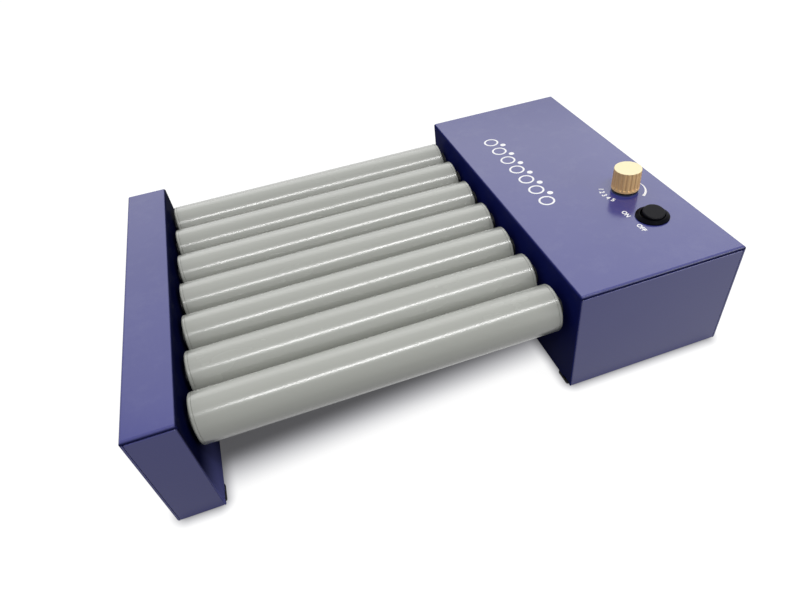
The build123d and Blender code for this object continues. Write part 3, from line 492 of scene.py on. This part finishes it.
materials = {name: plainFinish(name, look) for name, look in plainLooks.items()}
materials["knob_plastic"] = knobFinish("knob_plastic")
materials["roller_plastic"] = rollerFinish("roller_plastic")
# Two copies of the paint; the left one's weaker coat makes it a shaded copy
leftPaint = paintFinish("housing_paint_left", leftLow, leftHigh, leftHigh[0], "left")
rightPaint = paintFinish("housing_paint_right", rightLow, rightHigh, rightLow[0], "right")

slotOf = {part["node"]: part["material_slot"] for part in frame["record"]["subparts"]}
for name, piece in nodes.items():
    slot = slotOf[name]
    if slot == "housing_paint":
        finish = leftPaint if name.startswith("left") else rightPaint
    elif name == "switch_body":
        finish = materials["bezel_plastic"]
    else:
        finish = materials[slot]
    piece.data.materials.clear()
    piece.data.materials.append(finish)
print("finishes on", len(nodes), "nodes")


# New pieces


def placePiece(name, mesh, finish):
    # A new object with this mesh and finish, which rides on the frame
    mesh.materials.clear()
    mesh.materials.append(finish)
    piece = bpy.data.objects.new(name, mesh)
    bpy.context.scene.collection.objects.link(piece)
    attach(piece, "frame")


def addPiece(name, points, faces, finish):
    # A mesh from arrays of points and faces, with the points that meet at a pole or a seam made one
    mesh = bpy.data.meshes.new(name)
    mesh.from_pydata(points.tolist(), [], faces.tolist())
    shell = bmesh.new()
    shell.from_mesh(mesh)
    bmesh.ops.remove_doubles(shell, verts=shell.verts, dist=0.001 * mm)
    shell.to_mesh(mesh)
    shell.free()
    placePiece(name, mesh, finish)


def gridFaces(rows, columns, closeColumns=False):
    # Quads between neighbouring grid points, wrapping round where the columns close
    columnIndex = np.arange(columns if closeColumns else columns - 1)
    row, column = np.meshgrid(np.arange(rows - 1), columnIndex, indexing="ij")
    nextRow = row + 1
    nextColumn = (column + 1) % columns
    quads = np.stack([row * columns + column, row * columns + nextColumn,
                      nextRow * columns + nextColumn, nextRow * columns + column], axis=-1)
    return quads.reshape(-1, 4)


# Printed marks: how far the ink stands above the paint, and how far it spreads round each letter
ink = {"lift": 0.03 * mm, "spread": 0.035}
inkHeight = topHeight + ink["lift"]


def addArcBand(name, centre, radius, angles, widths, steps=72):
    # A flat band about a centre: the angle runs evenly from start to end, and so does the width, half
    # of it on either side of the radius
    share = np.linspace(0.0, 1.0, steps)[:, None]
    angle = angles[0] + share * (angles[1] - angles[0])
    width = widths[0] + share * (widths[1] - widths[0])
    radii = radius + width * np.array([[0.5, -0.5]])
    points = np.stack([centre[0] + radii * np.cos(angle), centre[1] + radii * np.sin(angle),
                       np.full_like(radii, inkHeight)], axis=-1)
    addPiece(name, points.reshape(-1, 3), gridFaces(steps, 2)[:, ::-1], materials["print_ink"])


# Its angles, in degrees, count from the side away from the rollers
speedArc = {"radius": 15.0 * mm, "angles": (-62.0, 8.0), "widths": (2.0 * mm, 0.6 * mm)}
addArcBand("speed_arc", knobMiddle, speedArc["radius"], np.radians(speedArc["angles"]),
           speedArc["widths"])

# A plain row of rings for the rollers, with a dot for each valley between two of them
rowMark = {"x": 31.8 * mm, "start": 216.0 * mm, "pitch": 17.0 * mm, "count": 7, "radius": 5.4 * mm,
           "line": 1.5 * mm, "dotRadius": 2.3 * mm, "dotRise": 7.2 * mm, "dotSteps": 40}
fullTurn = (0.0, 2 * math.pi)
for index in range(rowMark["count"]):
    y = rightLow[1] + rowMark["start"] - (index + 0.5) * rowMark["pitch"]
    ringCentre = (rightLow[0] + rowMark["x"], y)
    addArcBand(f"mark_ring_{index + 1}", ringCentre, rowMark["radius"], fullTurn,
               (rowMark["line"], rowMark["line"]))
    if index:
        dotCentre = (ringCentre[0] + rowMark["dotRise"], y + 0.5 * rowMark["pitch"])
        addArcBand(f"mark_dot_{index}", dotCentre, 0.5 * rowMark["dotRadius"], fullTurn,
                   (rowMark["dotRadius"], rowMark["dotRadius"]), rowMark["dotSteps"])


def addText(name, words, middle, turn, size):
    # Letters made a mesh, then turned about Z and set down round their middle
    curve = bpy.data.curves.new(name, "FONT")
    curve.body = words
    curve.size = size
    curve.offset = ink["spread"] * size
    curve.align_x = "CENTER"
    curve.align_y = "CENTER"
    shape = bpy.data.objects.new(name + "_text", curve)
    bpy.context.scene.collection.objects.link(shape)
    bpy.context.view_layer.update()
    shaped = shape.evaluated_get(bpy.context.evaluated_depsgraph_get())
    mesh = bpy.data.meshes.new_from_object(shaped)
    bpy.data.objects.remove(shape)
    bpy.data.curves.remove(curve)
    mesh.name = name
    place = (middle[0], middle[1], inkHeight)
    mesh.transform(Matrix.Translation(place) @ Matrix.Rotation(turn, 4, "Z"))
    placePiece(name, mesh, materials["print_ink"])


# Each word's place is counted from the right housing's inner wall and its front
switchWords = {"size": 4.9 * mm,
               "places": {"ON": (72.8 * mm, 65.0 * mm), "OFF": (73.1 * mm, 46.4 * mm)}}
for words, (across, along) in switchWords["places"].items():
    addText("word_" + words.lower(), words, (rightLow[0] + across, rightLow[1] + along),
            -math.pi / 2, switchWords["size"])

# The numbers stand round the knob, spread evenly, in degrees, about the side that faces the rollers
dialNumbers = {"radius": 17.2 * mm, "size": 5.2 * mm, "first": 1, "last": 5, "spread": 58.0,
               "middle": 180.0}
numberCount = dialNumbers["last"] - dialNumbers["first"] + 1
for index in range(numberCount):
    share = index / (numberCount - 1) - 0.5
    angle = math.radians(dialNumbers["middle"] + dialNumbers["spread"] * share)
    place = (knobMiddle[0] + dialNumbers["radius"] * math.cos(angle),
             knobMiddle[1] + dialNumbers["radius"] * math.sin(angle))
    addText(f"dial_number_{index + 1}", str(dialNumbers["first"] + index), place, angle + math.pi / 2,
            dialNumbers["size"])
print("printed marks done")


# The cross in the head is given as shares: its reach of the radius, and its depth of the height
inletScrew = {"radius": 2.7 * mm, "height": 0.9 * mm, "slot": 0.9 * mm, "spacing": 40.0 * mm,
              "sunk": 0.25 * mm, "crossReach": 0.62, "crossDepth": 0.55, "turns": 28, "rings": 9}


def screwHead(middle):
    # Facing +Y: a low dome whose height falls with the square of the radius, less a cross pressed in
    share = np.linspace(0.0, 1.0, inletScrew["rings"])[:, None]
    angle = np.linspace(0.0, 2 * np.pi, inletScrew["turns"], endpoint=False)[None, :]
    reach = inletScrew["radius"] * share
    across = reach * np.cos(angle)
    up = reach * np.sin(angle)
    dome = inletScrew["height"] * (1.0 - share ** 2) * np.ones_like(angle)
    inArms = np.minimum(np.abs(across), np.abs(up)) < inletScrew["slot"] / 2
    cross = inArms & (share < inletScrew["crossReach"])
    dome = np.where(cross, dome - inletScrew["crossDepth"] * inletScrew["height"], dome)
    return np.stack([middle[0] + across, middle[1] + dome, middle[2] + up], axis=-1)


for side, label in ((-0.5, "left"), (0.5, "right")):
    grid = screwHead((inletMiddle[0] + side * inletScrew["spacing"],
                      inletHigh[1] - inletScrew["sunk"], inletMiddle[2]))
    addPiece("inlet_screw_" + label, grid.reshape(-1, 3),
             gridFaces(*grid.shape[:2], closeColumns=True), materials["screw_steel"])
print("rear screws done")


# The dark pads that show at the low front corner beside the rollers, one under each housing
cornerPad = {"wide": 12.0 * mm, "deep": 13.0 * mm, "back": 3.5 * mm, "proud": 0.2 * mm,
             "round": 1.5 * mm, "turns": 8}


def padGrid(low, high):
    # An upright prism over a rectangle whose corners are quarter circles: centre + round * (cos, sin).
    # Its four rows are the bottom's middle, the bottom's rim, the top's rim and the top's middle
    rounding = cornerPad["round"]
    quarter = np.linspace(0.0, 0.5 * np.pi, cornerPad["turns"])
    middle = (low[:2] + high[:2]) / 2
    corners = ((high[0], high[1]), (low[0], high[1]), (low[0], low[1]), (high[0], low[1]))
    outline = []
    for index, corner in enumerate(corners):
        angle = quarter + 0.5 * index * np.pi
        centre = np.array(corner) - rounding * np.sign(np.array(corner) - middle)
        outline.append(centre + rounding * np.stack([np.cos(angle), np.sin(angle)], axis=-1))
    rim = np.concatenate(outline)
    pole = np.broadcast_to(middle, rim.shape)
    rows = ((pole, low[2]), (rim, low[2]), (rim, high[2]), (pole, high[2]))
    return np.stack([np.column_stack([flat, np.full(len(flat), z)]) for flat, z in rows])


padSides = (("left", leftHigh[0], -1.0, leftLow), ("right", rightLow[0], 1.0, rightLow))
for label, wallX, outward, low in padSides:
    near = wallX - outward * cornerPad["proud"]
    far = wallX + outward * cornerPad["wide"]
    padFront = low[1] + cornerPad["back"]
    grid = padGrid(np.array([min(near, far), padFront, 0.0]),
                   np.array([max(near, far), padFront + cornerPad["deep"], low[2]]))
    addPiece("corner_pad_" + label, grid.reshape(-1, 3),
             gridFaces(*grid.shape[:2], closeColumns=True), materials["foot_rubber"])
print("corner pads done")


# Floor, light and camera


white = (1.0, 1.0, 1.0)
floorLook = {"size": 4.0, "seen": 0.12, "bounce": 0.14, "shadeGlow": 0.08, "openGlow": 0.95,
             "mirrored": 0.76, "shadeTint": (0.94, 0.94, 1.0)}

# The soft shade lies inside three rectangles and fades out over the reach round each of them
frontRow, backRow = cornersOf("roller_7_tube"), cornersOf("roller_1_tube")
shadeLook = {"bedInset": 45.0 * mm, "bedReach": 40.0 * mm, "bedLean": -0.09,
             "boxInset": 6.0 * mm, "boxReach": 14.0 * mm}
shades = [
    {"low": (leftHigh[0], frontRow[0][1] + shadeLook["bedInset"]),
     "high": (rightLow[0], backRow[1][1] - shadeLook["bedInset"]),
     "reach": shadeLook["bedReach"], "lean": shadeLook["bedLean"]},
]
for low, high in ((leftLow, leftHigh), (rightLow, rightHigh)):
    shades.append({"low": low[:2] + shadeLook["boxInset"], "high": high[:2] - shadeLook["boxInset"],
                   "reach": shadeLook["boxReach"], "lean": 0.0})


def addShade(tree, place, shade):
    # 0 inside the rectangle, rising to 1 at the reach: the distance is the length of what x and y lie
    # outside by, and a lean adds a share of x to y
    middle = [float(a + b) / 2 for a, b in zip(shade["low"], shade["high"])]
    half = [float(b - a) / 2 for a, b in zip(shade["low"], shade["high"])]
    spot = splitAxes(tree, place)
    x = addMath(tree, "SUBTRACT", spot["X"], middle[0])
    y = addMath(tree, "SUBTRACT", spot["Y"], middle[1])
    y = addMath(tree, "ADD", y, addMath(tree, "MULTIPLY", x, shade["lean"]))
    squares = []
    for offset, size in ((x, half[0]), (y, half[1])):
        past = addMath(tree, "SUBTRACT", addMath(tree, "ABSOLUTE", offset), size)
        past = addMath(tree, "MAXIMUM", past, 0.0)
        squares.append(addMath(tree, "MULTIPLY", past, past))
    distance = addMath(tree, "SQRT", addMath(tree, "ADD", *squares))
    return addRange(tree, distance, 0.0, shade["reach"], 0.0, 1.0)


def seenRays(tree, mirrored):
    # 1 for rays that show a surface straight to the camera, mirrored for its reflections, 0 for light
    path = tree.nodes.new("ShaderNodeLightPath")
    glossy = addMath(tree, "MULTIPLY", path.outputs["Is Glossy Ray"], mirrored)
    seen = addMath(tree, "MAXIMUM", path.outputs["Is Camera Ray"], glossy)
    return addMath(tree, "MAXIMUM", seen, path.outputs["Is Transmission Ray"])


def addFloor():
    # A wide pale sheet: white where it is seen in the open, with a soft shade close under the object,
    # and darker in the light that it throws back up
    size = floorLook["size"]
    corners = [[-size, -size, 0.0], [size, -size, 0.0], [size, size, 0.0], [-size, size, 0.0]]
    mesh = bpy.data.meshes.new("floor")
    mesh.from_pydata(corners, [], [[0, 1, 2, 3]])
    floor = bpy.data.objects.new("floor", mesh)
    bpy.context.scene.collection.objects.link(floor)
    material = bpy.data.materials.new("pale_floor")
    material.use_nodes = True
    tree = material.node_tree
    tree.nodes.clear()
    diffuse = tree.nodes.new("ShaderNodeBsdfDiffuse")
    seen = seenRays(tree, floorLook["mirrored"])
    sheetColour = mixColour(tree, seen, (floorLook["bounce"],) * 3, (floorLook["seen"],) * 3)
    tree.links.new(sheetColour, diffuse.inputs["Color"])
    place = tree.nodes.new("ShaderNodeTexCoord").outputs["Object"]
    bare = 1.0
    for shade in shades:
        bare = addMath(tree, "MULTIPLY", addShade(tree, place, shade), bare)
    shown = addMath(tree, "MULTIPLY", bare, floorLook["openGlow"] - floorLook["shadeGlow"])
    shown = addMath(tree, "ADD", shown, floorLook["shadeGlow"])
    glow = tree.nodes.new("ShaderNodeEmission")
    tree.links.new(mixColour(tree, bare, floorLook["shadeTint"], white), glow.inputs["Color"])
    tree.links.new(addMath(tree, "MULTIPLY", seen, shown), glow.inputs["Strength"])
    total = tree.nodes.new("ShaderNodeAddShader")
    tree.links.new(diffuse.outputs[0], total.inputs[0])
    tree.links.new(glow.outputs[0], total.inputs[1])
    output = tree.nodes.new("ShaderNodeOutputMaterial")
    tree.links.new(total.outputs[0], output.inputs["Surface"])
    mesh.materials.append(material)


skyLook = {"horizon": 0.02, "zenith": 1.0, "back": 0.7}


def addWorld():
    # White where it is seen or mirrored; where it only lights, its strength rises with the height of
    # the ray, and more so from the back: horizon + (zenith - horizon) * z * (1 + back * y)
    world = bpy.data.worlds.new("studio")
    bpy.context.scene.world = world
    world.use_nodes = True
    tree = world.node_tree
    background = tree.nodes["Background"]
    background.inputs["Color"].default_value = (*white, 1.0)
    ray = splitAxes(tree, tree.nodes.new("ShaderNodeTexCoord").outputs["Generated"])
    lean = addMath(tree, "ADD", addMath(tree, "MULTIPLY", ray["Y"], skyLook["back"]), 1.0)
    rise = addMath(tree, "MULTIPLY", ray["Z"], skyLook["zenith"] - skyLook["horizon"], True)
    light = addMath(tree, "ADD", addMath(tree, "MULTIPLY", rise, lean), skyLook["horizon"])
    tree.links.new(addMath(tree, "MAXIMUM", light, seenRays(tree, 1.0)), background.inputs["Strength"])


def standAt(thing, right, up, back, place):
    # The object's three axes and its place are the columns of its matrix
    columns = (right, up, back, place)
    rows = [[column[row] for column in columns] for row in range(3)]
    thing.matrix_world = Matrix(rows + [[0.0, 0.0, 0.0, 1.0]])


lampTarget = (0.0, 0.0, 50.0 * mm)
lamps = {
    "backSoftbox": {"place": (0.45, 1.4, 1.3), "size": (3.0, 1.1), "power": 9.5},
    "frontFill": {"place": (0.9, -1.0, 0.35), "size": (0.6, 0.6), "power": 3.6},
    "streakStrip": {"place": (0.08, -0.50, 0.96), "size": (0.8, 0.12), "power": 4.2},
}


def addLamp(name, lampLook):
    # A rectangular lamp that faces the middle of the rollers, its width level
    data = bpy.data.lights.new(name, "AREA")
    data.shape = "RECTANGLE"
    data.size, data.size_y = lampLook["size"]
    data.energy = lampLook["power"]
    lamp = bpy.data.objects.new(name, data)
    bpy.context.scene.collection.objects.link(lamp)
    place = np.array(lampLook["place"])
    forward = np.array(lampTarget) - place
    forward /= np.linalg.norm(forward)
    right = np.cross(forward, (0.0, 0.0, 1.0))
    right /= np.linalg.norm(right)
    standAt(lamp, right, np.cross(right, forward), -forward, place)


# The camera that the photograph's housing corners give: its x counts from the right housing's inner
# wall, and its focal length and the middle of its lens are in pixels of a picture of this size
cameraFit = {
    "place": (rightLow[0] - 157.913 * mm, -360.504 * mm, 328.223 * mm),
    "right": (0.93824722, -0.33673343, -0.07938991),
    "down": (-0.29064523, -0.64271254, -0.70883421),
    "forward": (0.18766328, 0.68813603, -0.70089322),
    "focal": 585.70, "middle": (432.48, 331.08), "width": 790.0, "height": 607.0,
    "sensor": 36.0,  # millimetres
}


def addCamera():
    # Focal length and shifts are the fitted pixels as shares of the picture's width
    data = bpy.data.cameras.new("camera")
    data.sensor_fit = "HORIZONTAL"
    data.sensor_width = cameraFit["sensor"]
    data.lens = cameraFit["focal"] / cameraFit["width"] * data.sensor_width
    data.shift_x = (cameraFit["width"] / 2 - cameraFit["middle"][0]) / cameraFit["width"]
    data.shift_y = (cameraFit["middle"][1] - cameraFit["height"] / 2) / cameraFit["width"]
    camera = bpy.data.objects.new("camera", data)
    bpy.context.scene.collection.objects.link(camera)
    up = [-v for v in cameraFit["down"]]
    back = [-v for v in cameraFit["forward"]]
    standAt(camera, cameraFit["right"], up, back, cameraFit["place"])
    bpy.context.scene.camera = camera


addFloor()
addWorld()
for name, lampLook in lamps.items():
    addLamp(name, lampLook)
addCamera()
bpy.context.scene.view_settings.view_transform = "Standard"
print("floor, light and camera done")
